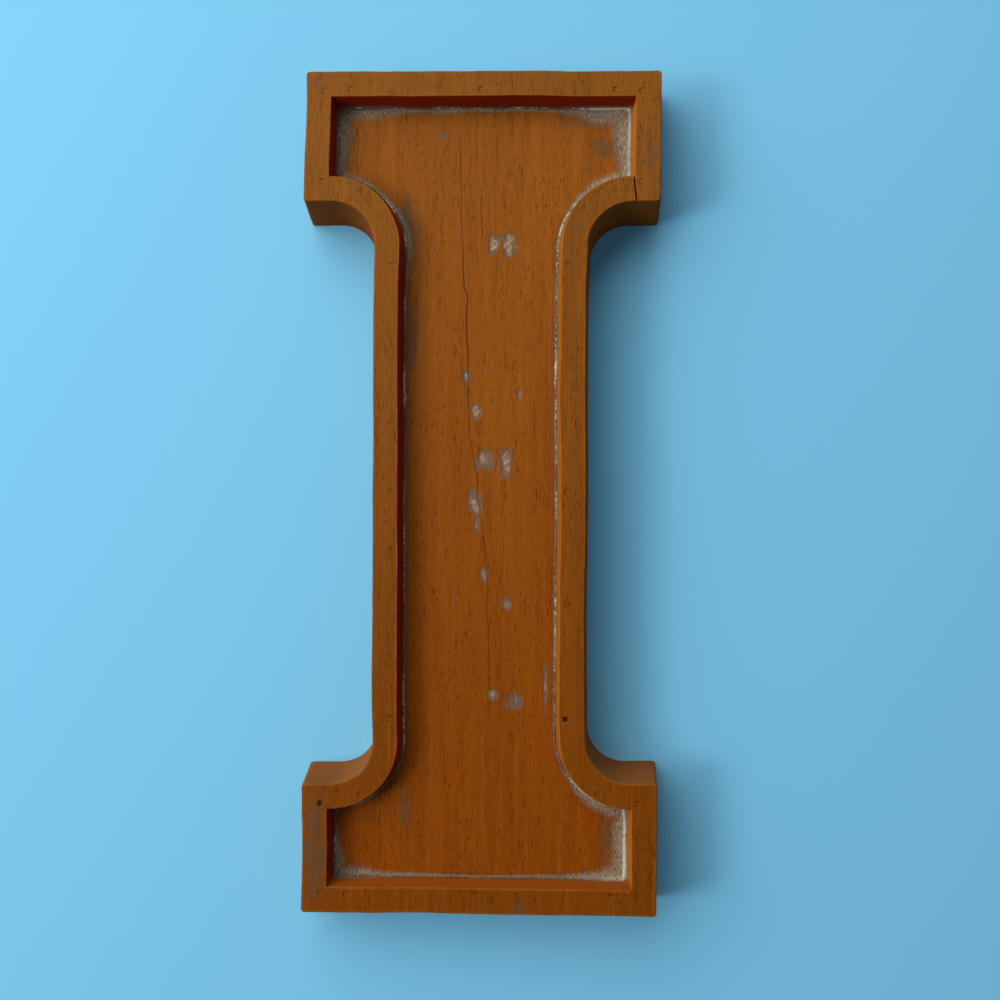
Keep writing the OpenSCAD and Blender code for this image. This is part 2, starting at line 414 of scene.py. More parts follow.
class Outline:
    """Ring of points on the front face, each with its lean over the depth and the round of its edge."""

    def __init__(self, walls, step, corner_round=0.0):
        self.rows = []
        count = len(walls)
        rounds = []
        for index, wall in enumerate(walls):
            after = walls[(index + 1) % count]
            square = self.is_corner(wall, after)
            rounds.append(corner_round if square and wall.kind == OUTER and after.kind == OUTER else 0.0)
        for index, wall in enumerate(walls):
            before, after = walls[index - 1], walls[(index + 1) % count]
            trim_start = rounds[index - 1] or self.clearance(before)
            trim_end = rounds[index] or self.clearance(after)
            for point, normal in wall.inner_points(step, trim_start, trim_end):
                self.add(point, normal, wall)
            self.add_corner(wall, after, rounds[index])
        self.point = np.array([row[0] for row in self.rows])
        self.rate = np.array([row[1] for row in self.rows])
        self.mitre = np.array([row[2] for row in self.rows])
        self.arris = np.array([row[3] for row in self.rows])
        self.gap = np.array([row[4] for row in self.rows])
        self.kind = np.array([row[5] for row in self.rows])

    @staticmethod
    def clearance(neighbour):
        """Room for a joint that leans over this wall further down."""
        return JOINT_LEAN if neighbour.slope < 0 and neighbour.kind == JOINT else 0.0

    @staticmethod
    def is_corner(wall, after):
        return wall.normal(1.0) @ after.normal(0.0) < 0.99

    @staticmethod
    def solve(normal_a, normal_b, value_a, value_b):
        return np.linalg.solve(np.array([normal_a, normal_b]), np.array([value_a, value_b]))

    def add(self, point, normal, wall):
        self.rows.append((point, normal * wall.slope, normal, wall.arris, normal * wall.gap, wall.kind))

    def add_corner(self, wall, after, radius):
        normal_a, normal_b = wall.normal(1.0), after.normal(0.0)
        if not self.is_corner(wall, after):
            arris = min(wall.arris, after.arris)
            gap = normal_a * min(wall.gap, after.gap)
            self.rows.append((wall.end, normal_a * wall.slope, normal_a, arris, gap, wall.kind))
            return
        rate = self.solve(normal_a, normal_b, wall.slope, after.slope)
        gap = self.solve(normal_a, normal_b, wall.gap, after.gap)
        if radius == 0:
            arris = max(wall.arris, after.arris, 0.001)
            mitre = self.solve(normal_a, normal_b, wall.arris / arris, after.arris / arris)
            kind = min(wall.kind, after.kind)
            self.rows.append((wall.end, rate, mitre, arris, gap, kind))
            return
        centre = wall.end - radius * (normal_a + normal_b) / (1 + normal_a @ normal_b)
        start = math.atan2(normal_a[1], normal_a[0])
        sweep = (math.atan2(normal_b[1], normal_b[0]) - start + math.pi) % (2 * math.pi) - math.pi
        steps = 6
        for index in range(1, steps):
            angle = start + sweep * index / steps
            normal = np.array([math.cos(angle), math.sin(angle)])
            self.rows.append((centre + radius * normal, rate, normal, wall.arris, gap, wall.kind))

    def mirrored(self, sign_x, sign_y):
        """The same outline on another side of the letter, still run with the solid on its left."""
        flip = np.array([sign_x, sign_y], float)
        order = slice(None, None, -1) if sign_x * sign_y < 0 else slice(None)
        for name in ("point", "rate", "mitre", "gap"):
            setattr(self, name, (getattr(self, name) * flip)[order])
        self.arris = self.arris[order]
        self.kind = self.kind[order]
        return self


class LetterShape:
    """Places that the outlines share, worked out from the sizes."""

    def __init__(self):
        given = sizes()
        self.half_x = given.serif_w / 2
        self.half_y = given.face_h / 2
        self.gap = self.half_y - given.serif_h
        self.stem = given.stem_w / 2
        self.bracket_r = given.bracket_r
        self.bracket_x = self.stem + given.bracket_r
        self.bracket_y = self.gap - given.bracket_r
        self.border = given.border_w
        self.joint = self.half_x - given.border_w
        self.outer_slope = math.tan(given.outer_draft)
        self.panel_slope = math.tan(given.panel_draft)

    def depth(self, points, spread):
        """Distance of each point inside the letter's outline, once that is spread by the given amount."""
        x, y = np.abs(points[:, 0]), np.abs(points[:, 1])
        away = np.hypot(np.maximum(self.bracket_x - x, 0), np.maximum(y - self.bracket_y, 0))
        return np.minimum.reduce([self.half_x + spread - x, self.half_y + spread - y,
                                  away - (self.bracket_r - spread)])

    def floor_depth(self, points, z=SEAT_Z):
        """Distance of each point from the foot of the panel walls, at a height."""
        return self.depth(points, -self.border - (FACE_Z - z) * self.panel_slope)

    def outer(self, start=None, end=None, **arc):
        return Wall(self.outer_slope, OUTER, wear().arris, start, end, **arc)

    def panel(self, start=None, end=None, **arc):
        return Wall(self.panel_slope, PANEL, 0.8 * wear().arris, start, end, **arc)

    def joint_wall(self, start, end, grows, arris=0.05, gap=0.0):
        slope = self.panel_slope if grows else -self.panel_slope
        return Wall(slope, JOINT, arris, start, end, gap=gap)

    def letter(self):
        """Walls of the whole letter."""
        corners = []
        bracket = dict(radius=self.bracket_r)
        x, y, stem, gap = self.half_x, self.half_y, self.stem, self.gap
        bx, by = self.bracket_x, self.bracket_y
        corners.append(self.outer((x, -y), (x, -gap)))
        corners.append(self.outer((x, -gap), (bx, -gap)))
        corners.append(self.outer(centre=(bx, -by), turn=(270, 180), **bracket))
        corners.append(self.outer((stem, -by), (stem, by)))
        corners.append(self.outer(centre=(bx, by), turn=(180, 90), **bracket))
        corners.append(self.outer((bx, gap), (x, gap)))
        corners.append(self.outer((x, gap), (x, y)))
        corners.append(self.outer((x, y), (-x, y)))
        corners.append(self.outer((-x, y), (-x, gap)))
        corners.append(self.outer((-x, gap), (-bx, gap)))
        corners.append(self.outer(centre=(-bx, by), turn=(90, 0), **bracket))
        corners.append(self.outer((-stem, by), (-stem, -by)))
        corners.append(self.outer(centre=(-bx, -by), turn=(0, -90), **bracket))
        corners.append(self.outer((-bx, -gap), (-x, -gap)))
        corners.append(self.outer((-x, -gap), (-x, -y)))
        corners.append(self.outer((-x, -y), (x, -y)))
        return corners

    def rail(self):
        """Walls of the top rail."""
        low, high, end = self.half_y - self.border, self.half_y, self.joint
        return [
            self.panel((-end, low), (end, low)),
            self.joint_wall((end, low), (end, high), False),
            self.outer((end, high), (-end, high)),
            self.joint_wall((-end, high), (-end, low), False),
        ]

    def serif_end(self, joint_arris):
        """Walls of the top right serif end."""
        near, far, low, high = self.joint, self.half_x, self.gap, self.half_y
        return [
            self.outer((near, low), (far, low)),
            self.outer((far, low), (far, high)),
            self.outer((far, high), (near, high)),
            self.joint_wall((near, high), (near, high - self.border), True),
            Wall(self.panel_slope, PANEL, 0.8 * wear().arris,
                 (near, high - self.border), (near, low + self.border)),
            self.joint_wall((near, low + self.border), (near, low), True, joint_arris),
        ]

    def stem_side(self, joint_arris, crack):
        """Walls of the right stem side, with its upper joint opened by the crack."""
        end, stem, gap = self.joint, self.stem, self.gap
        bx, by = self.bracket_x, self.bracket_y
        outer_r, panel_r = self.bracket_r, self.bracket_r + self.border
        inner, top = stem - self.border, gap + self.border
        low_curve = self.outer(centre=(bx, -by), radius=outer_r, turn=(270 - BRACKET_END, 180))
        high_curve = self.outer(centre=(bx, by), radius=outer_r, turn=(180, 90 + BRACKET_END))
        high_panel = self.panel(centre=(bx, by), radius=panel_r, turn=(90 + BRACKET_END, 180))
        low_panel = self.panel(centre=(bx, -by), radius=panel_r, turn=(180, 270 - BRACKET_END))
        return [
            self.outer((end, -gap), low_curve.start),
            low_curve,
            self.outer((stem, -by), (stem, by)),
            high_curve,
            self.outer(high_curve.end, (end, gap)),
            self.joint_wall((end, gap), (end, top), False, joint_arris, crack),
            self.panel((end, top), high_panel.start),
            high_panel,
            self.panel((inner, by), (inner, -by)),
            low_panel,
            self.panel(low_panel.end, (end, -top)),
            self.joint_wall((end, -top), (end, -gap), False),
        ]


# Places of the brads


def end_places(sign_x, sign_y):
    shape, given = LetterShape(), sizes()
    x = shape.joint + given.brad_inset
    heights = (shape.gap + given.brad_margin, shape.half_y - given.brad_margin)
    return [(sign_x * x, sign_y * y) for y in heights]


def rail_places(sign_y):
    shape, given = LetterShape(), sizes()
    reach = shape.joint - given.brad_margin
    y = shape.half_y - shape.border + given.brad_inset
    return [(x, sign_y * y) for x in (-reach, 0.0, reach)]


def side_places(sign_x):
    shape, given = LetterShape(), sizes()
    reach = shape.bracket_y - given.brad_margin
    x = shape.stem - shape.border + given.brad_inset
    places = [(sign_x * x, y) for y in (-reach, 0.0, reach)]
    ring = shape.bracket_r + shape.border - given.brad_inset
    for sign_y in (-1, 1):
        places.append((sign_x * (shape.bracket_x - ring * math.cos(given.bracket_turn)),
                       sign_y * (shape.bracket_y + ring * math.sin(given.bracket_turn))))
    return places


def brad_places():
    """All the brads, and which of their holes were left open."""
    places = []
    for sign_x in (-1, 1):
        for sign_y in (-1, 1):
            places += end_places(sign_x, sign_y)
    places += rail_places(-1) + rail_places(1) + side_places(-1) + side_places(1)
    left_open = [end_places(-1, -1)[0], side_places(1)[0]]
    return places, left_open


# Meshes


def inside_ring(points, ring):
    """Which points lie inside a closed ring, by counting crossings."""
    crossings = np.zeros(len(points), int)
    for start, end in zip(ring, np.roll(ring, -1, axis=0)):
        spans = (start[1] > points[:, 1]) != (end[1] > points[:, 1])
        if not spans.any():
            continue
        rise = end[1] - start[1]
        cross_x = start[0] + (points[:, 1] - start[1]) * (end[0] - start[0]) / (rise if rise else 1e-12)
        crossings += spans & (points[:, 0] < cross_x)
    return crossings % 2 == 1


def hex_points(low, high, step, seed):
    """Jittered points in staggered rows over a rectangle."""
    rows = []
    row_step = step * math.sqrt(3) / 2
    rng = np.random.default_rng(seed)
    for index, y in enumerate(np.arange(low[1], high[1], row_step)):
        xs = np.arange(low[0] + (index % 2) * step / 2, high[0], step)
        rows.append(np.stack([xs, np.full(len(xs), y)], axis=1))
    points = np.concatenate(rows)
    return points + rng.uniform(-0.18, 0.18, points.shape) * step


def fill_ring(ring, inner, holes):
    """Triangles over a closed ring with inner points, leaving out round holes given as rings."""
    rings = [ring] + holes
    points, edges = [], []
    for one in rings:
        first = len(points)
        points += [tuple(point) for point in one]
        edges += [(first + index, first + (index + 1) % len(one)) for index in range(len(one))]
    points += [tuple(point) for point in inner]
    vectors = [Vector(point) for point in points]
    found, _, faces, _, _, _ = delaunay_2d_cdt(vectors, edges, [], 0, 1e-7)
    if len(found) != len(points):
        raise RuntimeError("a cap's points crossed or fell together")
    faces = np.array([face for face in faces if len(face) == 3])
    flat = np.array([tuple(point) for point in found])
    middle = flat[faces].mean(axis=1)
    keep = inside_ring(middle, np.array(ring))
    for hole in holes:
        centre = np.mean(hole, axis=0)
        reach = np.linalg.norm(np.array(hole[0]) - centre)
        keep &= np.linalg.norm(middle - centre, axis=1) > reach * 0.96
    return flat, faces[keep]


def ring_band(lower, upper, count):
    """Faces between two rings of points, run anticlockwise seen from above, facing outwards."""
    index = np.arange(count)
    after = (index + 1) % count
    return np.stack([lower + index, lower + after, upper + after, upper + index], axis=1)


class Solid:
    """Vertices, faces and vertex attributes of one piece, in millimetres."""

    def __init__(self):
        self.vertices = []
        self.faces = []
        self.fields = {"wall": [], "arris": []}
        self.count = 0

    def add(self, points, wall, arris):
        first = self.count
        self.vertices.append(np.asarray(points, float))
        self.fields["wall"].append(np.broadcast_to(wall, len(points)).astype(float))
        self.fields["arris"].append(np.broadcast_to(arris, len(points)).astype(float))
        self.count += len(points)
        return first

    def joined(self):
        fields = {name: np.concatenate(part) for name, part in self.fields.items()}
        return np.concatenate(self.vertices), fields


def edge_radius(outline):
    """Arris radius at each point of an outline, with wear and small nicks."""
    seed = wear().seed
    base = outline.arris
    wander = 1 + 0.35 * rough_noise(outline.point, (7.0, 7.0), seed + 5)
    nicks = np.clip(rough_noise(outline.point, (1.7, 1.7), seed + 9) - 0.85, 0, 1) * 1.6
    worn = base * wander + nicks * np.where(base > 0.2, base, 0)
    return np.clip(worn, 0.02, 1.1)


def walls_of(solid, outline, low_z, high_z, levels, round_top, open_z=17.8):
    """Adds the sloping walls of an outline, and gives the rings at the foot and the top."""
    radius = edge_radius(outline) if round_top else np.zeros(len(outline.point))
    count = len(outline.point)
    top_of_wall = high_z - radius
    rings = []
    for level in range(levels + 1):
        z = low_z + (top_of_wall - low_z) * level / levels
        rings.append(place_ring(solid, outline, z, 0.0, radius, open_z, high_z))
    if round_top:
        steps = 4
        for step in range(1, steps + 1):
            angle = math.pi / 2 * step / steps
            z = top_of_wall + radius * math.sin(angle)
            rings.append(place_ring(solid, outline, z, 1 - math.cos(angle), radius, open_z, high_z))
    for lower, upper in zip(rings, rings[1:]):
        solid.faces.append(ring_band(lower, upper, count))
    return rings[0], rings[-1]


def place_ring(solid, outline, z, inset, radius, open_z, high_z):
    opened = np.clip((z - open_z) / (FACE_Z - open_z), 0, 1)
    flat = outline.point + outline.rate * (FACE_Z - z)[:, None]
    flat = flat - outline.mitre * (radius * inset)[:, None] - outline.gap * opened[:, None]
    wall = np.where(inset > 0.45, TOP, outline.kind)
    near_edge = np.clip(1 - (high_z - z) / 1.6, 0, 1)
    return solid.add(np.column_stack([flat, z]), wall, near_edge)


def border_solid(outline, places):
    """A border piece: sloping walls, rounded front edges, a gently wavering face and its brad holes."""
    solid = Solid()
    foot, top = walls_of(solid, outline, SEAT_Z, FACE_Z, 5, True)
    count = len(outline.point)
    vertices, _ = solid.joined()
    foot_ring, top_ring = vertices[foot:foot + count, :2], vertices[top:top + count, :2]
    _, faces = fill_ring(foot_ring, [], [])
    solid.faces.append(foot + faces[:, ::-1])
    step = wear().face_step
    grid = hex_points(top_ring.min(axis=0), top_ring.max(axis=0), step, wear().seed)
    grid = grid[inside_ring(grid, top_ring)]
    near_ring = nearest(grid, top_ring)
    grid, ring_gap = grid[near_ring > 0.5 * step], near_ring[near_ring > 0.5 * step]
    hole_r = sizes().head_d / 2 + 0.02
    holes = []
    for place in places:
        turn = np.linspace(0, 2 * math.pi, 20, endpoint=False)
        centre = np.array(place)
        away = np.linalg.norm(grid - centre, axis=1)
        grid, ring_gap = grid[away > hole_r + 0.3 * step], ring_gap[away > hole_r + 0.3 * step]
        holes.append(centre + hole_r * np.column_stack([np.cos(turn), np.sin(turn)]))
    flat, faces = fill_ring(top_ring, grid, holes)
    fresh = solid.add(np.column_stack([flat[count:], np.full(len(flat) - count, FACE_Z)]), TOP,
                      np.concatenate([np.zeros(sum(map(len, holes))), np.clip(1 - ring_gap / 1.6, 0, 1)]))
    solid.faces.append(np.where(faces < count, top + faces, fresh + faces - count))
    hole_foot = FACE_Z - sizes().head_sink - 0.6
    start = fresh
    for hole in holes:
        low = solid.add(np.column_stack([hole, np.full(len(hole), hole_foot)]), JOINT, 0.0)
        solid.faces.append(ring_band(low, start, len(hole))[:, ::-1])
        _, cap = fill_ring(hole, [], [])
        solid.faces.append(low + cap)
        start += len(hole)
    return solid


def nearest(points, ring):
    """Distance of each point from a closed ring."""
    return line_distance(points, [tuple(point) for point in ring] + [tuple(ring[0])])


def board_solid(shape):
    """The back board: outer walls, the panel floor with its chips and check, and the flat back."""
    solid = Solid()
    outline = Outline(shape.letter(), 1.6, wear().corner)
    outline.arris[:] = 0.02
    foot, top = walls_of(solid, outline, 0.0, SEAT_Z, 8, False)
    count = len(outline.point)
    vertices, _ = solid.joined()
    foot_ring, top_ring = vertices[foot:foot + count, :2], vertices[top:top + count, :2]
    back = hex_points(foot_ring.min(axis=0), foot_ring.max(axis=0), 5.0, wear().seed + 3)
    back = back[inside_ring(back, foot_ring)]
    back = back[shape.depth(back, shape.outer_slope * FACE_Z) > 1.5]
    flat, faces = fill_ring(foot_ring, back, [])
    low = solid.add(np.column_stack([flat[count:], np.zeros(len(flat) - count)]), OUTER, 0.0)
    solid.faces.append(np.where(faces < count, foot + faces, low + faces - count)[:, ::-1])
    step = wear().floor_step
    grid = hex_points(top_ring.min(axis=0), top_ring.max(axis=0), step, wear().seed + 4)
    panel = shape.floor_depth(grid)
    coarse = hex_points(top_ring.min(axis=0), top_ring.max(axis=0), 4.0, wear().seed + 6)
    coarse = coarse[(shape.floor_depth(coarse) < -2.0) & inside_ring(coarse, top_ring)]
    coarse = coarse[shape.depth(coarse, shape.outer_slope * (FACE_Z - SEAT_Z)) > 1.2]
    grid = grid[panel > -0.8]
    fine = []
    for x, y, half_w, half_h, _ in CHIPS:
        patch = hex_points((x - 1.3 * half_w, y - 1.3 * half_h), (x + 1.3 * half_w, y + 1.3 * half_h), 0.35,
                           wear().seed + 8)
        fine.append(patch[np.hypot((patch[:, 0] - x) / half_w, (patch[:, 1] - y) / half_h) < 1.3])
    fine.append(check_points())
    fine = thin(np.concatenate(fine), 0.13)
    keep = np.ones(len(grid), bool)
    for x, y, half_w, half_h, _ in CHIPS:
        keep &= np.hypot((grid[:, 0] - x) / half_w, (grid[:, 1] - y) / half_h) > 1.4
    keep &= (line_distance(grid, CHECK_LINE) > 1.1) & (line_distance(grid, SHORT_CHECK) > 1.1)
    flat, faces = fill_ring(top_ring, np.concatenate([grid[keep], fine, coarse]), [])
    high = solid.add(np.column_stack([flat[count:], np.full(len(flat) - count, SEAT_Z)]), TOP, 0.0)
    solid.faces.append(np.where(faces < count, top + faces, high + faces - count))
    return solid


def check_points():
    """Close rows of points along the drying checks, so that their grooves are real."""
    rows = []
    for line in (CHECK_LINE, SHORT_CHECK):
        for start, end in zip(line, line[1:]):
            start, end = np.array(start), np.array(end)
            length = np.linalg.norm(end - start)
            along = (end - start) / length
            across = np.array([along[1], -along[0]])
            for part in np.arange(0.1, length, 0.45):
                drawn = start + along * part
                centre = drawn + across * check_sway(drawn[None])[0]
                rows += [centre + across * side for side in (-0.85, -0.35, -0.16, 0.0, 0.16, 0.35, 0.85)]
    return np.array(rows)


def check_sway(points):
    """How far the check wanders to the left of its drawn line near each point."""
    return 0.22 * rough_noise(points, (5.0, 5.0), 77)


def thin(points, gap):
    """Leaves one point in each square cell."""
    keys = np.round(points / gap).astype(int)
    _, first = np.unique(keys, axis=0, return_index=True)
    return points[np.sort(first)]


def finish_solid(solid, name, shape, floor_piece):
    """Warps, wears and colours a solid's points, and makes its object."""
    vertices, fields = solid.joined()
    flat = vertices[:, :2].copy()
    seed = wear().seed
    top = fields["wall"] == TOP
    if floor_piece:
        inside = shape.floor_depth(flat)
        on_floor = top & (np.abs(vertices[:, 2] - SEAT_Z) < 0.01)
        weight = np.clip(inside / 2.0, 0, 1) * on_floor
        chips = closeness(flat, CHIPS, seed + 20) * on_floor
        grime = closeness(flat, SMEARS, seed + 21) * on_floor
        swayed = flat + np.column_stack([check_sway(flat), np.zeros(len(flat))])
        line = np.minimum(line_distance(swayed, CHECK_LINE), line_distance(swayed, SHORT_CHECK))
        check = np.clip(1 - line / 0.42, 0, 1) * on_floor
        foot = np.clip(1 - inside / 4.0, 0, 1) * on_floor
        dust = np.clip(1 - np.maximum(inside - 0.4, 0) / deposit_width(flat), 0, 1) * on_floor
        check *= 0.72 + 0.28 * np.exp(-((flat[:, 1] - CHECK_MIDDLE) / 22.0) ** 2)
        deep = np.zeros(len(flat))
        dent = 0.07 * rough_noise(flat, (3.0, 26.0), seed + 23)
        dent += 0.05 * rough_noise(flat, (14.0, 60.0), seed + 24)
        drop = 0.14 * np.clip((chips - 0.3) * 4, 0, 1) + 0.09 * np.clip(check * 1.6 - 0.5, 0, 1)
        vertices[:, 2] += weight * (dent - drop)
    else:
        on_face = top & (vertices[:, 2] > FACE_Z - 0.01)
        chips = closeness(flat, FACE_CHIPS, seed + 25) * (vertices[:, 2] > FACE_Z - 0.6)
        grime = closeness(flat, FACE_SMEARS, seed + 26) * (vertices[:, 2] > FACE_Z - 0.6)
        check = np.zeros(len(flat))
        dust = np.clip(1 - (vertices[:, 2] - SEAT_Z) / 2.4, 0, 1) * (fields["wall"] >= PANEL)
        dust *= np.clip(deposit_width(flat) / 5.0, 0, 1)
        # Painted shade: the top and left panel walls face away from the light and take a deep red; the bottom
        # wall takes some of it
        wall_y = shape.half_y - shape.border - 2
        shaded = (flat[:, 1] > wall_y) | ((flat[:, 0] < 0) & (flat[:, 1] > -wall_y))
        deep = (fields["wall"] >= PANEL) * np.where(shaded, 1.0, np.where(flat[:, 1] < -wall_y, 0.4, 0.0))
        foot = np.clip(1 - (vertices[:, 2] - SEAT_Z) / 4.0, 0, 1) * (fields["wall"] >= PANEL)
        vertices[:, 2] += (face_dent(flat) - 0.16 * np.clip((chips - 0.3) * 4, 0, 1)) * on_face
    shift = hand_shift(flat)
    rough = 0.05 * rough_noise(vertices, (2.2, 2.2, 1.3), seed + 28)
    side = (fields["wall"] == OUTER) | (fields["wall"] == PANEL)
    outward = flat / np.maximum(np.linalg.norm(flat, axis=1), 1e-6)[:, None]
    vertices[:, :2] = flat + shift + outward * (rough * side * (vertices[:, 2] > 0.2))[:, None]
    vertices[:, :2] = np.clip(vertices[:, :2], -BACK_REACH + 0.01, BACK_REACH - 0.01)
    vertices[:, 2] = np.clip(vertices[:, 2], 0.0, FACE_Z)
    fields.update(chips=chips, grime=grime, check=check, foot=foot, dust=dust, deep=deep)
    faces = [list(face) for part in solid.faces for face in part.tolist()]
    return new_piece(name, vertices, faces, fields, 38)


def face_dent(flat):
    """How far the front face lies below its highest level at each point."""
    return np.minimum(-0.05 + 0.05 * rough_noise(flat, (3.0, 22.0), wear().seed + 27), 0)


def new_piece(name, vertices, faces, fields, sharp_angle):
    """A mesh object at the origin, in metres, with float attributes and smooth faces."""
    mesh = bpy.data.meshes.new(name)
    mesh.from_pydata((vertices * MM).tolist(), [], faces)
    mesh.validate()
    for field, values in fields.items():
        attribute = mesh.attributes.new(field, "FLOAT", "POINT")
        attribute.data.foreach_set("value", np.ascontiguousarray(values, dtype=np.float32))
    mesh.shade_smooth()
    mesh.set_sharp_from_angle(angle=math.radians(sharp_angle))
    piece = bpy.data.objects.new(name, mesh)
    bpy.context.collection.objects.link(piece)
    return piece


def seat(piece, material, slot, *replaced):
    """Gives a piece its material, puts it on the letter's body and hides the model parts that it replaces."""
    piece.data.materials.clear()
    piece.data.materials.append(material)
    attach(piece, BODY)
    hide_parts(*replaced)


# Materials


class Wire:
    """A shader socket that adds Math nodes when it is used in an expression."""

    def __init__(self, board, socket):
        self.board = board
        self.socket = socket

    def __add__(self, other):
        return self.board.math("ADD", self, other)

    def __radd__(self, other):
        return self.board.math("ADD", other, self)

    def __sub__(self, other):
        return self.board.math("SUBTRACT", self, other)

    def __rsub__(self, other):
        return self.board.math("SUBTRACT", other, self)

    def __mul__(self, other):
        return self.board.math("MULTIPLY", self, other)

    def __rmul__(self, other):
        return self.board.math("MULTIPLY", other, self)


class Board:
    """Builds the node tree of one material."""

    def __init__(self, name):
        self.material = bpy.data.materials.new(name)
        self.material.use_nodes = True
        self.tree = self.material.node_tree
        self.tree.nodes.clear()

    def node(self, kind, settings, inputs, out=0):
        """Adds a node, sets its settings and then its sockets, and gives one of its outputs."""
        node = self.tree.nodes.new(kind)
        for name, value in settings.items():
            if name == "stops":
                self.set_stops(node.color_ramp, value)
            else:
                setattr(node, name, value)
        for key, value in inputs.items():
            if isinstance(value, Wire):
                self.tree.links.new(value.socket, node.inputs[key])
            else:
                node.inputs[key].default_value = value
        return Wire(self, node.outputs[out]) if node.outputs else node

    @staticmethod
    def set_stops(ramp, stops):
        while len(ramp.elements) < len(stops):
            ramp.elements.new(0.5)
        for element, (place, colour) in zip(ramp.elements, stops):
            element.position = place
            element.color = colour

    def math(self, operation, first, second):
        return self.node("ShaderNodeMath", {"operation": operation}, {0: first, 1: second})

    def mix(self, factor, first, second):
        """Colour mix from the first to the second."""
        return self.node("ShaderNodeMix", {"data_type": "RGBA"},
                         {0: factor, 6: colour4(first), 7: colour4(second)}, 2)

    def band(self, value, low, high):
        """Rises smoothly from 0 at low to 1 at high."""
        return self.node("ShaderNodeMapRange", {"interpolation_type": "SMOOTHSTEP"},
                         {0: value, 1: low, 2: high})

    def field(self, name):
        """A vertex attribute's value."""
        return self.node("ShaderNodeAttribute", {"attribute_name": name}, {}, "Fac")

    def place(self):
        """Object coordinates in millimetres."""
        coordinates = self.node("ShaderNodeTexCoord", {}, {}, "Object")
        return self.node("ShaderNodeVectorMath", {"operation": "SCALE"}, {0: coordinates, "Scale": 1 / MM})

    def noise(self, place, cell, detail=2.0, roughness=0.5, shift=0.0):
        """Noise whose cells have the given sizes in millimetres."""
        spread = tuple(1 / side for side in cell)
        moved = self.node("ShaderNodeVectorMath", {"operation": "MULTIPLY_ADD"},
                          {0: place, 1: spread, 2: (shift, shift * 1.7, shift * 0.6)})
        return self.node("ShaderNodeTexNoise", {}, {"Vector": moved, "Scale": 1.0, "Detail": detail,
                                                    "Roughness": roughness})

    def finish(self, sockets, bump, bump_mm, strength=1.0):
        """Closes the tree with a Principled shader whose normal follows a height in millimetres."""
        normal = self.node("ShaderNodeBump", {},
                           {"Strength": strength, "Distance": bump_mm * MM, "Height": bump})
        shader = self.node("ShaderNodeBsdfPrincipled", {}, {**sockets, "Normal": normal})
        self.node("ShaderNodeOutputMaterial", {}, {"Surface": shader})
        return self.material


def colour4(colour):
    """A colour for a node socket, with full alpha, or the link as it is."""
    return colour if isinstance(colour, Wire) else (*tuple(colour)[:3], 1.0)


def darker(colour, level):
    return tuple(channel * level for channel in tuple(colour)[:3])


def tinted(colour, tint):
    return tuple(channel * part for channel, part in zip(tuple(colour)[:3], tint))


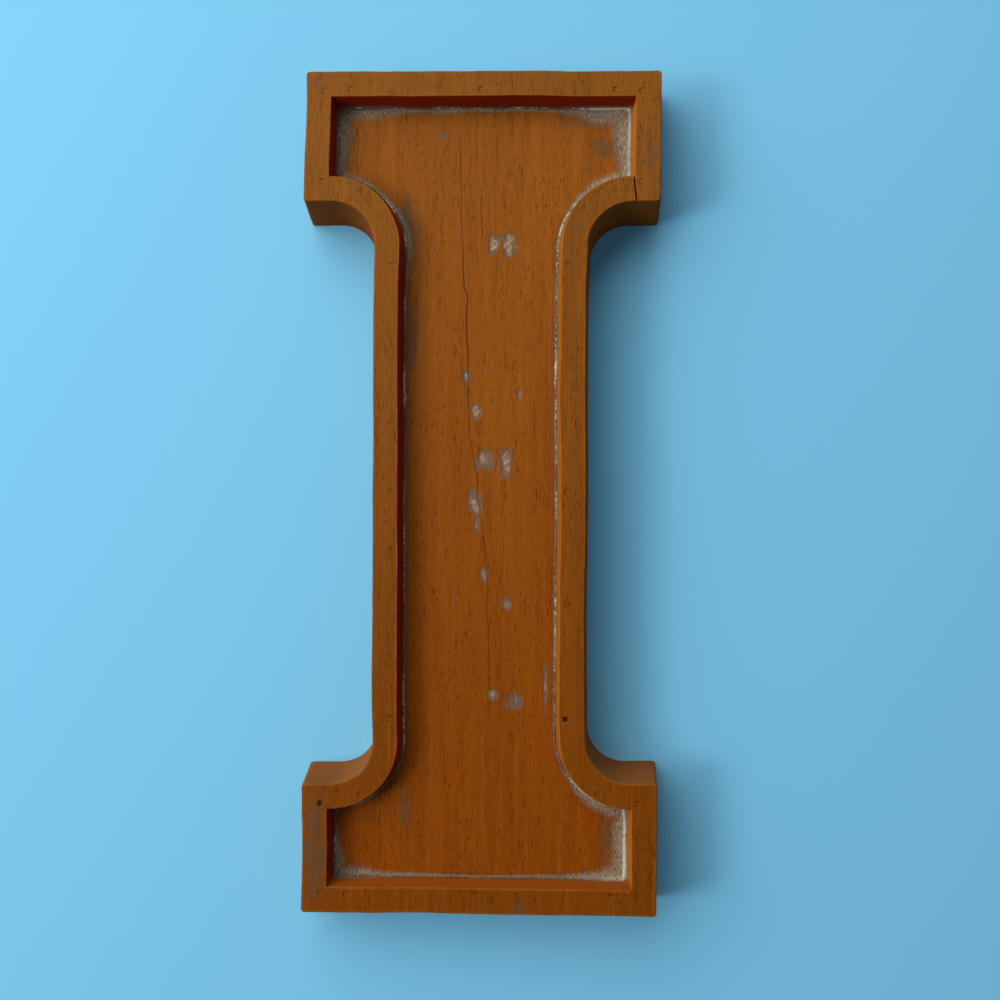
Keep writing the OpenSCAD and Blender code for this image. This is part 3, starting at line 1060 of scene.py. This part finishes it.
def painted_wood(name, tint=(1.0, 1.0, 1.0)):
    """Brown paint over open-grained hardwood, with pores, streaks, chips, grime and rubbed edges, and painted
    light and shade: a sheen towards the top, lit and shaded panel walls, highlights at the foot of the lit
    right-hand walls and shade down the joints and holes.
    """
    board = Board(name)
    tone = colours()
    place = board.place()
    height = board.node("ShaderNodeSeparateXYZ", {}, {0: place}, "Y")
    # Painted sheen: the paint blends from the foot colour up to a lighter, bluer top colour
    paint_with_sheen = board.mix(board.band(height, -150.0, 150.0), tinted(tone.paint_foot, tint),
                           tinted(tone.paint_top_and_sheen, tint))
    broad = board.noise(place, (7.0, 110.0, 7.0), 3.0, 0.55, 3.1)
    streak = board.noise(place, (0.9, 45.0, 0.9), 4.0, 0.6, 9.7)
    fine = board.noise(place, (0.28, 9.0, 0.28), 2.0, 0.6, 5.3)
    body = board.mix(board.band(broad, 0.35, 0.68), paint_with_sheen, board.node(
        "ShaderNodeHueSaturation", {}, {"Saturation": 1.0, "Value": 0.88, "Color": paint_with_sheen}))
    dark_streak = board.band(streak, 0.55, 0.74) * 0.26 + board.band(fine, 0.56, 0.76) * 0.22
    body = board.mix(dark_streak, body, darker(tone.pore, 1.5))
    light_streak = board.band(streak, 0.44, 0.28) * 0.22
    body = board.mix(light_streak, body, darker(tone.edge, 0.95))
    pore_rows = board.band(board.noise(place, (0.24, 3.2, 0.24), 1.0, 0.5, 1.7), 0.62, 0.70)
    pore_patch = board.band(board.noise(place, (4.0, 30.0, 4.0), 2.0, 0.5, 8.2), 0.36, 0.62)
    hair = board.band(board.noise(place, (0.2, 7.5, 0.2), 1.0, 0.5, 21.4), 0.60, 0.70)
    pores = pore_rows * pore_patch
    body = board.mix(hair * 0.4, body, darker(tone.pore, 1.3))
    body = board.mix(pores * 0.75, body, tone.pore)
    ragged = board.noise(place, (0.5, 1.3, 0.5), 4.0, 0.65, 2.4)
    mottle = board.noise(place, (2.2, 6.0, 2.2), 3.0, 0.6, 6.6)
    crumbs = board.noise(place, (0.35, 1.7, 0.35), 4.0, 0.75, 12.3)
    grime = board.band(board.field("grime") + (ragged - 0.5) * 0.5, 0.18, 0.62)
    grime = grime * board.band(mottle, 0.25, 0.6)
    body = board.mix(grime * 0.7, body, tone.grime)
    specks = board.band(board.noise(place, (0.55, 0.8, 0.55), 3.0, 0.7, 4.4), 0.70, 0.76)
    body = board.mix(specks * 0.3, body, darker(tone.grime, 0.8))
    chips = board.band(board.field("chips") + (ragged - 0.5) * 0.55, 0.26, 0.36)
    core = board.band(board.field("chips") + (mottle - 0.5) * 0.5, 0.5, 0.8)
    chip_tone = board.mix(core, darker(tone.bare, 0.72), darker(tone.bare, 1.1))
    chip_tone = board.mix(board.band(fine, 0.5, 0.66) * 0.5, chip_tone, darker(tone.pore, 1.6))
    chip_tone = board.mix(board.band(crumbs, 0.54, 0.62) * core, chip_tone, darker(tone.fresh_putty_and_highlight, 0.9))
    turned = board.node("ShaderNodeVectorRotate", {"rotation_type": "Z_AXIS"},
                        {"Vector": place, "Angle": 0.95})
    scratches = board.band(board.noise(turned, (0.45, 6.0, 6.0), 1.0, 0.5, 3.3), 0.56, 0.64)
    chip_tone = board.mix(scratches * core * 0.8, chip_tone, darker(tone.fresh_putty_and_highlight, 0.9))
    body = board.mix(chips * 0.85, body, chip_tone)
    # Darkens the paint towards the foot of the panel walls, on the floor and on the walls' lower part
    foot = board.band(board.field("foot") + (ragged - 0.5) * 0.7, 0.35, 1.0)
    body = board.mix(foot * 0.45, body, darker(tone.grime, 0.55))
    # Painted light: all panel walls are lightened towards this colour so the lit ones look lit; the shaded
    # ones are painted red below
    painted_wall_light = board.band(board.field("wall"), 1.6, 1.9)
    body = board.mix(painted_wall_light * 0.55, body, darker(tone.edge, 1.1))
    # Painted shade on the panel walls that face away from the light
    deep = board.field("deep")
    body = board.mix(deep * 0.9, body, tone.painted_shade_red)
    dust = board.band(board.field("dust") + (ragged - 0.5) * 0.6 + (mottle - 0.5) * 0.5, 0.16, 0.85)
    across = board.node("ShaderNodeSeparateXYZ", {}, {0: place}, "X")
    # Painted light: the dust is paler on the right, where the walls are lit, than in the shade on the left
    lit_right_side = board.band(across, 26.0, 46.0)
    dust_and_highlight = board.mix(lit_right_side * 0.6, tone.dust, darker(tone.fresh_putty_and_highlight, 0.85))
    dust_tone = board.mix(board.band(crumbs, 0.36, 0.54), darker(tone.grime, 0.6), dust_and_highlight)
    dust_tone = board.mix(board.band(crumbs, 0.56, 0.68), dust_tone, darker(tone.fresh_putty_and_highlight, 0.95))
    body = board.mix(dust * (0.62 + 0.7 * (crumbs - 0.3)), body, dust_tone)
    # Painted highlight, partly putty: a white stripe along the foot of the lit walls on the right of the
    # panel
    putty_seam_and_highlight = board.band(board.field("dust") + (crumbs - 0.5) * 0.5, 0.88, 1.0) * board.band(across, 42.0, 48.0)
    body = board.mix(putty_seam_and_highlight * 0.7, body, tone.fresh_putty_and_highlight)
    check = board.band(board.field("check") + (ragged - 0.5) * 0.3, 0.3, 0.8)
    body = board.mix(check * 0.85, body, darker(tone.pore, 0.5))
    # Painted shade: the walls of the joints and brad holes go near black, down the open crack and the open
    # holes
    joint_and_hole_shade = board.band(board.field("wall"), 2.4, 2.7)
    body = board.mix(joint_and_hole_shade * 0.9, body, darker(tone.pore, 0.3))
    outer = board.band(board.field("wall"), 0.4, 0.9) * board.band(board.field("wall"), 1.6, 1.1)
    dusty_foot = board.band(height, -70.0, -110.0)
    side_tone = board.mix(dusty_foot, darker(tone.paint_foot, 0.8), tone.side)
    dusty = board.mix(board.band(mottle, 0.3, 0.7) * dusty_foot, side_tone, darker(tone.edge, 0.8))
    body = board.mix(outer * (0.35 + 0.4 * board.band(ragged, 0.4, 0.62)), body, dusty)
    rubbed = board.band(board.field("arris") + (ragged - 0.5) * 0.8 + (mottle - 0.5) * 0.5, 0.72, 1.0)
    body = board.mix(rubbed * 0.16, body, tone.edge)
    gloss = 0.40 + 0.12 * ragged + 0.18 * grime + 0.2 * chips + 0.2 * foot + 0.3 * outer
    surface = 0.5 * fine + 0.5 * streak + 0.35 * ragged - 1.1 * pores - 0.8 * chips - 0.4 * specks
    return board.finish({"Base Color": body, "Roughness": gloss, "Specular IOR Level": 0.05}, surface, 0.08)


def bead_putty(name):
    """Dirty putty, grey to black, with white stretches where the dirt has come off, and a painted highlight
    that whitens it towards the lit right-hand walls.
    """
    board = Board(name)
    tone = colours()
    place = board.place()
    broad = board.noise(place, (9.0, 14.0, 9.0), 3.0, 0.6, 2.2)
    crumbs = board.noise(place, (0.7, 1.1, 0.7), 4.0, 0.7, 7.5)
    body = board.mix(board.band(crumbs, 0.38, 0.62), darker(tone.grime, 0.22), darker(tone.putty, 0.55))
    body = board.mix(board.band(broad + (crumbs - 0.5) * 0.5, 0.5, 0.62), body, darker(tone.paint_foot, 0.45))
    across = board.node("ShaderNodeSeparateXYZ", {}, {0: place}, "X")
    # Painted highlight, partly clean putty: the bead whitens towards the right, where the walls are lit
    right = board.band(across, 22.0, 44.0)
    white = board.band(broad + (crumbs - 0.5) * 1.3 - 0.22 * right, 0.44, 0.32)
    body = board.mix(white, body, tone.fresh_putty_and_highlight)
    return board.finish({"Base Color": body, "Roughness": 0.8}, crumbs, 0.25)


def rusty_steel(name):
    """Dull steel with rust."""
    board = Board(name)
    place = board.place()
    blotch = board.noise(place, (0.5, 0.5, 0.8), 4.0, 0.6, 1.1)
    body = board.mix(board.band(blotch, 0.4, 0.65), colours().steel, (0.12, 0.045, 0.02))
    rough = 0.45 + 0.4 * blotch
    metal = board.band(blotch, 0.65, 0.45)
    return board.finish({"Base Color": body, "Roughness": rough, "Metallic": metal}, blotch, 0.05)


def plain_paper(name):
    """Plain pale paper with a faint tooth."""
    board = Board(name)
    tooth = board.noise(board.place(), (0.9, 0.9, 0.9), 3.0, 0.6)
    body = board.mix(board.band(tooth, 0.3, 0.7), darker(colours().paper, 0.99), colours().paper)
    return board.finish({"Base Color": body, "Roughness": 0.9, "Specular IOR Level": 0.1}, tooth, 0.01)


# The border has taken more handling and is darker than the panel
BORDER_TINT = (0.84, 0.94, 1.25)
MATERIALS = {}


def finish_of(maker, name, **options):
    """One material of each name, made when it is first asked for."""
    if name not in MATERIALS:
        MATERIALS[name] = maker(name, **options)
    return MATERIALS[name]


# Geometry Nodes


class Grower:
    """Builds a Geometry Nodes tree with named inputs and runs it on an object."""

    def __init__(self, name, inputs):
        self.tree = bpy.data.node_groups.new(name, "GeometryNodeTree")
        face = self.tree.interface
        face.new_socket("Geometry", in_out="INPUT", socket_type="NodeSocketGeometry")
        self.values = inputs
        self.sockets = {}
        for label, (kind, value) in inputs.items():
            self.sockets[label] = face.new_socket(label, in_out="INPUT", socket_type=kind).identifier
        face.new_socket("Geometry", in_out="OUTPUT", socket_type="NodeSocketGeometry")
        self.entry = self.tree.nodes.new("NodeGroupInput")
        self.exit = self.tree.nodes.new("NodeGroupOutput")

    def given(self, label):
        return self.entry.outputs[label]

    def node(self, kind, settings, inputs, out=0):
        node = self.tree.nodes.new(kind)
        for name, value in settings.items():
            setattr(node, name, value)
        for key, value in inputs.items():
            if isinstance(value, bpy.types.NodeSocket):
                self.tree.links.new(value, node.inputs[key])
            else:
                node.inputs[key].default_value = value
        return node.outputs[out]

    def close(self, geometry, material):
        real = self.node("GeometryNodeRealizeInstances", {}, {"Geometry": geometry})
        painted = self.node("GeometryNodeSetMaterial", {}, {"Geometry": real, "Material": material})
        self.tree.links.new(painted, self.exit.inputs["Geometry"])

    def grow(self, seed_mesh, name):
        """Runs the tree on a mesh and gives the result as a plain mesh object."""
        carrier = bpy.data.objects.new(name + "_path", seed_mesh)
        bpy.context.collection.objects.link(carrier)
        modifier = carrier.modifiers.new("grow", "NODES")
        modifier.node_group = self.tree
        for label, (_, value) in self.values.items():
            modifier[self.sockets[label]] = value
        graph = bpy.context.evaluated_depsgraph_get()
        mesh = bpy.data.meshes.new_from_object(carrier.evaluated_get(graph))
        carrier.modifiers.remove(modifier)
        bpy.data.objects.remove(carrier)
        mesh.name = name
        piece = bpy.data.objects.new(name, mesh)
        bpy.context.collection.objects.link(piece)
        if not mesh.polygons:
            raise RuntimeError(f"{name} grew no faces")
        return piece


def flat_shaded(piece):
    """Keeps the ends of small turned pieces flat where they meet their sides."""
    piece.data.shade_smooth()
    piece.data.set_sharp_from_angle(angle=math.radians(35))
    return piece


def point_mesh(name, places, heights):
    """A mesh of loose points at the brads' places, moved with the hand-cut outline."""
    flat = np.array(places, float)
    flat = flat + hand_shift(flat)
    mesh = bpy.data.meshes.new(name)
    mesh.from_pydata([(x * MM, y * MM, z * MM) for (x, y), z in zip(flat, heights)], [], [])
    return mesh


# Operators


class PieceOperator:
    """What the operators that make pieces share."""

    bl_options = {"REGISTER", "UNDO"}

    def execute(self, context):
        self.make(LetterShape())
        return {"FINISHED"}


def make_border(name, outline, places, shape):
    piece = finish_solid(border_solid(outline, places), name + "_painted", shape, False)
    seat(piece, finish_of(painted_wood, "painted_border", tint=BORDER_TINT), "painted_border", name)


class SIGN_OT_back_board(PieceOperator, bpy.types.Operator):
    """Make the back board with its worn panel floor"""

    bl_idname = "sign_letter.back_board"
    bl_label = "Back board"

    def make(self, shape):
        piece = finish_solid(board_solid(shape), "back_board_painted", shape, True)
        seat(piece, finish_of(painted_wood, "painted_board"), "painted_board", "back_board")


class SIGN_OT_rails(PieceOperator, bpy.types.Operator):
    """Make the top and bottom rails"""

    bl_idname = "sign_letter.rails"
    bl_label = "Rails"

    def make(self, shape):
        for name, sign in (("top_rail", 1), ("bottom_rail", -1)):
            outline = Outline(shape.rail(), 0.9).mirrored(1, sign)
            make_border(name, outline, rail_places(sign), shape)


class SIGN_OT_serif_ends(PieceOperator, bpy.types.Operator):
    """Make the four serif ends"""

    bl_idname = "sign_letter.serif_ends"
    bl_label = "Serif ends"

    def make(self, shape):
        for name, sign_x, sign_y, joint_arris in (
            ("top_left_end", -1, 1, 0.12),
            ("top_right_end", 1, 1, 0.12),
            ("bottom_left_end", -1, -1, 0.05),
            ("bottom_right_end", 1, -1, 0.05),
        ):
            outline = Outline(shape.serif_end(joint_arris), 0.9, wear().corner).mirrored(sign_x, sign_y)
            make_border(name, outline, end_places(sign_x, sign_y), shape)


class SIGN_OT_stem_sides(PieceOperator, bpy.types.Operator):
    """Make the two stem sides with their hollow brackets"""

    bl_idname = "sign_letter.stem_sides"
    bl_label = "Stem sides"

    def make(self, shape):
        for name, sign, joint_arris, crack in (
            ("left_stem_side", -1, 0.12, 0.0),
            ("right_stem_side", 1, 0.12, wear().crack),
        ):
            outline = Outline(shape.stem_side(joint_arris, crack), 0.9).mirrored(sign, 1)
            make_border(name, outline, side_places(sign), shape)


class SIGN_OT_panel_putty(PieceOperator, bpy.types.Operator):
    """Make the bead of putty round the foot of the panel walls"""

    bl_idname = "sign_letter.panel_putty"
    bl_label = "Panel putty"

    def make(self, shape):
        path = Outline(panel_walls(shape), 0.6)
        foot = path.point + path.rate * (FACE_Z - SEAT_Z)
        mesh = bpy.data.meshes.new("panel_foot")
        count = len(foot)
        mesh.from_pydata([(x * MM, y * MM, SEAT_Z * MM) for x, y in foot],
                         [(index, (index + 1) % count) for index in range(count)], [])
        grower = Grower("putty_bead", {"Leg": ("NodeSocketFloat", sizes().putty_leg * MM)})
        curve = grower.node("GeometryNodeMeshToCurve", {}, {"Mesh": grower.given("Geometry")})
        ring = grower.node("GeometryNodeCurvePrimitiveCircle", {"mode": "RADIUS"},
                           {"Resolution": 12, "Radius": grower.given("Leg")})
        bead = grower.node("GeometryNodeCurveToMesh", {}, {"Curve": curve, "Profile Curve": ring})
        material = finish_of(bead_putty, "panel_putty_dirty")
        grower.close(bead, material)
        piece = grower.grow(mesh, "panel_putty_bead")
        shape_bead(piece, shape)
        seat(piece, material, "panel_putty", "panel_putty")


def panel_walls(shape):
    """Walls of the panel's edge on the front face, run the way that keeps the panel on the left."""
    x, y = shape.joint, shape.half_y - shape.border
    inner, top = shape.stem - shape.border, shape.gap + shape.border
    bx, by = shape.bracket_x, shape.bracket_y
    radius = shape.bracket_r + shape.border

    def line(start, end):
        return Wall(-shape.panel_slope, PANEL, 0.0, start, end)

    def arc(centre, turn):
        return Wall(-shape.panel_slope, PANEL, 0.0, centre=centre, radius=radius, turn=turn)

    return [
        line((x, -y), (x, -top)), line((x, -top), (bx, -top)), arc((bx, -by), (270, 180)),
        line((inner, -by), (inner, by)), arc((bx, by), (180, 90)), line((bx, top), (x, top)),
        line((x, top), (x, y)), line((x, y), (-x, y)), line((-x, y), (-x, top)),
        line((-x, top), (-bx, top)), arc((-bx, by), (90, 0)), line((-inner, by), (-inner, -by)),
        arc((-bx, -by), (0, -90)), line((-bx, -top), (-x, -top)), line((-x, -top), (-x, -y)),
        line((-x, -y), (x, -y)),
    ]


def shape_bead(piece, shape):
    """Presses the round bead into the angle between the wall and the floor, with an uneven face."""
    mesh = piece.data
    vertices = np.empty(len(mesh.vertices) * 3)
    mesh.vertices.foreach_get("co", vertices)
    vertices = vertices.reshape(-1, 3) / MM
    leg = sizes().putty_leg
    across = -shape.floor_depth(vertices[:, :2])
    angle = np.arctan2(vertices[:, 2] - SEAT_Z, -across)
    flat = vertices[:, :2]
    lit_wall = np.clip((flat[:, 0] - 35) / 12, 0, 1)
    mean = 0.5 + 0.42 * lit_wall
    uneven = mean + 0.25 * rough_noise(flat, (5.0, 5.0), 41) + 0.12 * rough_noise(flat, (0.9, 0.9), 43)
    uneven = np.clip(leg * uneven, 0.25, leg)
    open_side = (np.cos(angle) > 0) & (np.sin(angle) > 0)
    hollow = 1 / (np.abs(np.cos(angle)) + np.abs(np.sin(angle)) + 0.35 * np.abs(np.sin(2 * angle)))
    reach = np.where(open_side, uneven * hollow, 0.3)
    old = np.hypot(across, vertices[:, 2] - SEAT_Z)
    scale = reach / np.maximum(old, 1e-6)
    low_z = SEAT_Z + (vertices[:, 2] - SEAT_Z) * scale
    step = 0.05
    slope_x = shape.floor_depth(flat + (step, 0)) - shape.floor_depth(flat - (step, 0))
    slope_y = shape.floor_depth(flat + (0, step)) - shape.floor_depth(flat - (0, step))
    uphill = np.column_stack([slope_x, slope_y]) / (2 * step)
    flat = flat + uphill * (across * (1 - scale))[:, None]
    vertices[:, :2] = flat + hand_shift(flat)
    vertices[:, 2] = low_z
    mesh.vertices.foreach_set("co", (vertices * MM).ravel())
    mesh.shade_smooth()
    mesh.update()


class SIGN_OT_brads(PieceOperator, bpy.types.Operator):
    """Make the brads that hold the border"""

    bl_idname = "sign_letter.brads"
    bl_label = "Brads"

    def make(self, shape):
        given = sizes()
        places, _ = brad_places()
        length = "NodeSocketFloat"
        grower = Grower("brad_row", {
            "Head diameter": (length, given.head_d * MM * 0.96),
            "Head thickness": (length, 0.5 * MM),
            "Shank diameter": (length, given.brad_d * MM),
            "Shank length": (length, (given.brad_len - 2.0) * MM),
            "Point length": (length, 1.5 * MM),
        })
        head = self.part(grower, "Head diameter", "Head thickness", 0.0, False)
        shank = self.part(grower, "Shank diameter", "Shank length", -0.5, False)
        point = self.part(grower, "Shank diameter", "Point length", 1.5 - given.brad_len, True)
        brad = grower.node("GeometryNodeJoinGeometry", {}, {})
        join = brad.node
        for part in (head, shank, point):
            grower.tree.links.new(part, join.inputs[0])
        turn = grower.node("FunctionNodeRandomValue", {"data_type": "FLOAT_VECTOR"},
                           {0: (0.0, 0.0, 0.0), 1: (0.0, 0.0, 6.28), "Seed": 5})
        rows = grower.node("GeometryNodeInstanceOnPoints", {},
                           {"Points": grower.given("Geometry"), "Instance": brad, "Rotation": turn})
        material = finish_of(rusty_steel, "brad_rust")
        grower.close(rows, material)
        mesh = point_mesh("brad_points", places, [FACE_Z - given.head_sink] * len(places))
        seat(flat_shaded(grower.grow(mesh, "brads_steel")), material, "brad_steel", "brads")

    @staticmethod
    def part(grower, diameter, length, top, tapered):
        """A round length of the brad that hangs from a height below the top of its head."""
        radius = grower.node("ShaderNodeMath", {"operation": "MULTIPLY"}, {0: grower.given(diameter), 1: 0.5})
        round_bar = grower.node("GeometryNodeMeshCone", {"fill_type": "NGON"}, {
            "Vertices": 16,
            "Radius Top": radius,
            "Radius Bottom": 0.02 * MM if tapered else radius,
            "Depth": grower.given(length),
        })
        drop = grower.node("ShaderNodeMath", {"operation": "MULTIPLY_ADD"},
                           {0: grower.given(length), 1: -1.0, 2: top * MM})
        offset = grower.node("ShaderNodeCombineXYZ", {}, {"Z": drop})
        return grower.node("GeometryNodeTransform", {}, {"Geometry": round_bar, "Translation": offset})


class SIGN_OT_stoppings(PieceOperator, bpy.types.Operator):
    """Make the painted putty over the sunk brads"""

    bl_idname = "sign_letter.stoppings"
    bl_label = "Brad stoppings"

    def make(self, shape):
        given = sizes()
        places, left_open = brad_places()
        stopped = [place for place in places if place not in left_open]
        grower = Grower("stopping_row", {
            "Radius": ("NodeSocketFloat", given.head_d / 2 * MM),
            "Depth": ("NodeSocketFloat", (given.head_sink - 0.2) * MM),
        })
        plug = grower.node("GeometryNodeMeshCylinder", {"fill_type": "TRIANGLE_FAN"}, {
            "Vertices": 20,
            "Radius": grower.given("Radius"),
            "Depth": grower.given("Depth"),
        })
        half = grower.node("ShaderNodeMath", {"operation": "MULTIPLY"}, {0: grower.given("Depth"), 1: -0.5})
        offset = grower.node("ShaderNodeCombineXYZ", {}, {"Z": half})
        plug = grower.node("GeometryNodeTransform", {}, {"Geometry": plug, "Translation": offset})
        size_range = grower.node("FunctionNodeRandomValue", {"data_type": "FLOAT_VECTOR"},
                                 {0: (1.05, 1.05, 0.9), 1: (1.07, 1.07, 1.0), "Seed": 3})
        rows = grower.node("GeometryNodeInstanceOnPoints", {},
                           {"Points": grower.given("Geometry"), "Instance": plug, "Scale": size_range})
        material = finish_of(painted_wood, "painted_border", tint=BORDER_TINT)
        grower.close(rows, material)
        heights = FACE_Z + np.minimum(face_dent(np.array(stopped, float)) + 0.012, 0)
        mesh = point_mesh("stopping_points", stopped, heights)
        piece = flat_shaded(grower.grow(mesh, "brad_stoppings_painted"))
        seat(piece, material, "painted_putty", "brad_stoppings")


class SIGN_OT_stage(bpy.types.Operator):
    """Make the plain paper floor, the lamps and the camera"""

    bl_idname = "sign_letter.stage"
    bl_label = "Stage"

    def execute(self, context):
        floor = new_piece("paper", np.array([(-3000.0, -3000.0, 0.0), (3000.0, -3000.0, 0.0),
                                             (3000.0, 3000.0, 0.0), (-3000.0, 3000.0, 0.0)]),
                          [(0, 1, 2, 3)], {}, 30)
        floor.data.transform(Matrix.Translation((0, 0, -0.00005)))
        floor.data.materials.append(finish_of(plain_paper, "plain_paper"))
        add_lamp("window", azimuth=136, elevation=41, distance=1.3, wide=2.15, high=1.35, watts=27.0)
        add_lamp("bright_pane", azimuth=191, elevation=40, distance=1.9, wide=0.55, high=0.5, watts=12.0)
        add_camera()
        add_world()
        context.scene.view_settings.view_transform = "Standard"
        return {"FINISHED"}


def add_lamp(name, azimuth, elevation, distance, wide, high, watts):
    """A soft rectangular lamp that faces the letter from a direction in degrees and a distance in metres."""
    lamp = bpy.data.lights.new(name, "AREA")
    lamp.shape = "RECTANGLE"
    lamp.size = wide
    lamp.size_y = high
    lamp.energy = watts
    side, up = math.radians(azimuth), math.radians(elevation)
    way = Vector((math.cos(up) * math.cos(side), math.cos(up) * math.sin(side), math.sin(up)))
    holder = bpy.data.objects.new(name, lamp)
    holder.location = way * distance
    holder.rotation_euler = way.to_track_quat("Z", "Y").to_euler()
    holder.visible_camera = False
    bpy.context.collection.objects.link(holder)


# Camera of the photograph: place in millimetres, and its turn from straight down in degrees about X, Y and Z
CAMERA_PLACE = (17.89, -5.32, 379.47)
CAMERA_TURN = (0.3934, 1.7138, 0.3008)


def add_camera():
    camera = bpy.data.cameras.new("camera")
    camera.lens = 36.0
    camera.sensor_width = 36.0
    camera.clip_start = 0.01
    turn = Vector([math.radians(part) for part in CAMERA_TURN])
    holder = bpy.data.objects.new("camera", camera)
    place = Vector(CAMERA_PLACE) * MM
    holder.matrix_world = Matrix.Translation(place) @ Matrix.Rotation(turn.length, 4, turn.normalized())
    bpy.context.collection.objects.link(holder)
    bpy.context.scene.camera = holder


def add_world():
    """A faint sky on the object, and a pale one where the camera or a reflection sees past the paper."""
    world = bpy.data.worlds.new("sky")
    world.use_nodes = True
    tree = world.node_tree
    tree.nodes.clear()
    path = tree.nodes.new("ShaderNodeLightPath")
    dim, pale = tree.nodes.new("ShaderNodeBackground"), tree.nodes.new("ShaderNodeBackground")
    dim.inputs["Color"].default_value = (0.75, 0.85, 1.0, 1.0)
    dim.inputs["Strength"].default_value = 0.19
    pale.inputs["Color"].default_value = (0.80, 0.88, 0.93, 1.0)
    pale.inputs["Strength"].default_value = 0.8
    either, any_kind = tree.nodes.new("ShaderNodeMath"), tree.nodes.new("ShaderNodeMath")
    either.operation = any_kind.operation = "MAXIMUM"
    tree.links.new(path.outputs["Is Camera Ray"], either.inputs[0])
    tree.links.new(path.outputs["Is Transmission Ray"], either.inputs[1])
    tree.links.new(either.outputs[0], any_kind.inputs[0])
    tree.links.new(path.outputs["Is Glossy Ray"], any_kind.inputs[1])
    choose = tree.nodes.new("ShaderNodeMixShader")
    tree.links.new(any_kind.outputs[0], choose.inputs[0])
    tree.links.new(dim.outputs[0], choose.inputs[1])
    tree.links.new(pale.outputs[0], choose.inputs[2])
    out = tree.nodes.new("ShaderNodeOutputWorld")
    tree.links.new(choose.outputs[0], out.inputs["Surface"])
    bpy.context.scene.world = world


OPERATORS = (
    SIGN_OT_back_board,
    SIGN_OT_rails,
    SIGN_OT_serif_ends,
    SIGN_OT_stem_sides,
    SIGN_OT_panel_putty,
    SIGN_OT_brads,
    SIGN_OT_stoppings,
    SIGN_OT_stage,
)


class SIGN_PT_letter(bpy.types.Panel):
    """Lists the letter's sizes, wear, colours and the operators that make it"""

    bl_idname = "SIGN_PT_letter"
    bl_label = "Sign letter"
    bl_space_type = "VIEW_3D"
    bl_region_type = "UI"
    bl_category = "Sign letter"

    def draw(self, context):
        for group in (sizes(), wear(), colours()):
            box = self.layout.box()
            for name in group.__annotations__:
                box.prop(group, name)
        for operator in OPERATORS:
            self.layout.operator(operator.bl_idname)


GROUPS = (SignLetterSizes, SignLetterWear, SignLetterColours)
CLASSES = GROUPS + OPERATORS + (SIGN_PT_letter,)


def register():
    for one in CLASSES:
        bpy.utils.register_class(one)
    bpy.types.Scene.sign_letter_sizes = PointerProperty(type=SignLetterSizes)
    bpy.types.Scene.sign_letter_wear = PointerProperty(type=SignLetterWear)
    bpy.types.Scene.sign_letter_colours = PointerProperty(type=SignLetterColours)


def unregister():
    del bpy.types.Scene.sign_letter_colours
    del bpy.types.Scene.sign_letter_wear
    del bpy.types.Scene.sign_letter_sizes
    for one in reversed(CLASSES):
        bpy.utils.unregister_class(one)


def main():
    register()
    for operator in OPERATORS:
        group, name = operator.bl_idname.split(".")
        getattr(getattr(bpy.ops, group), name)()


if __name__ == "__main__":
    main()
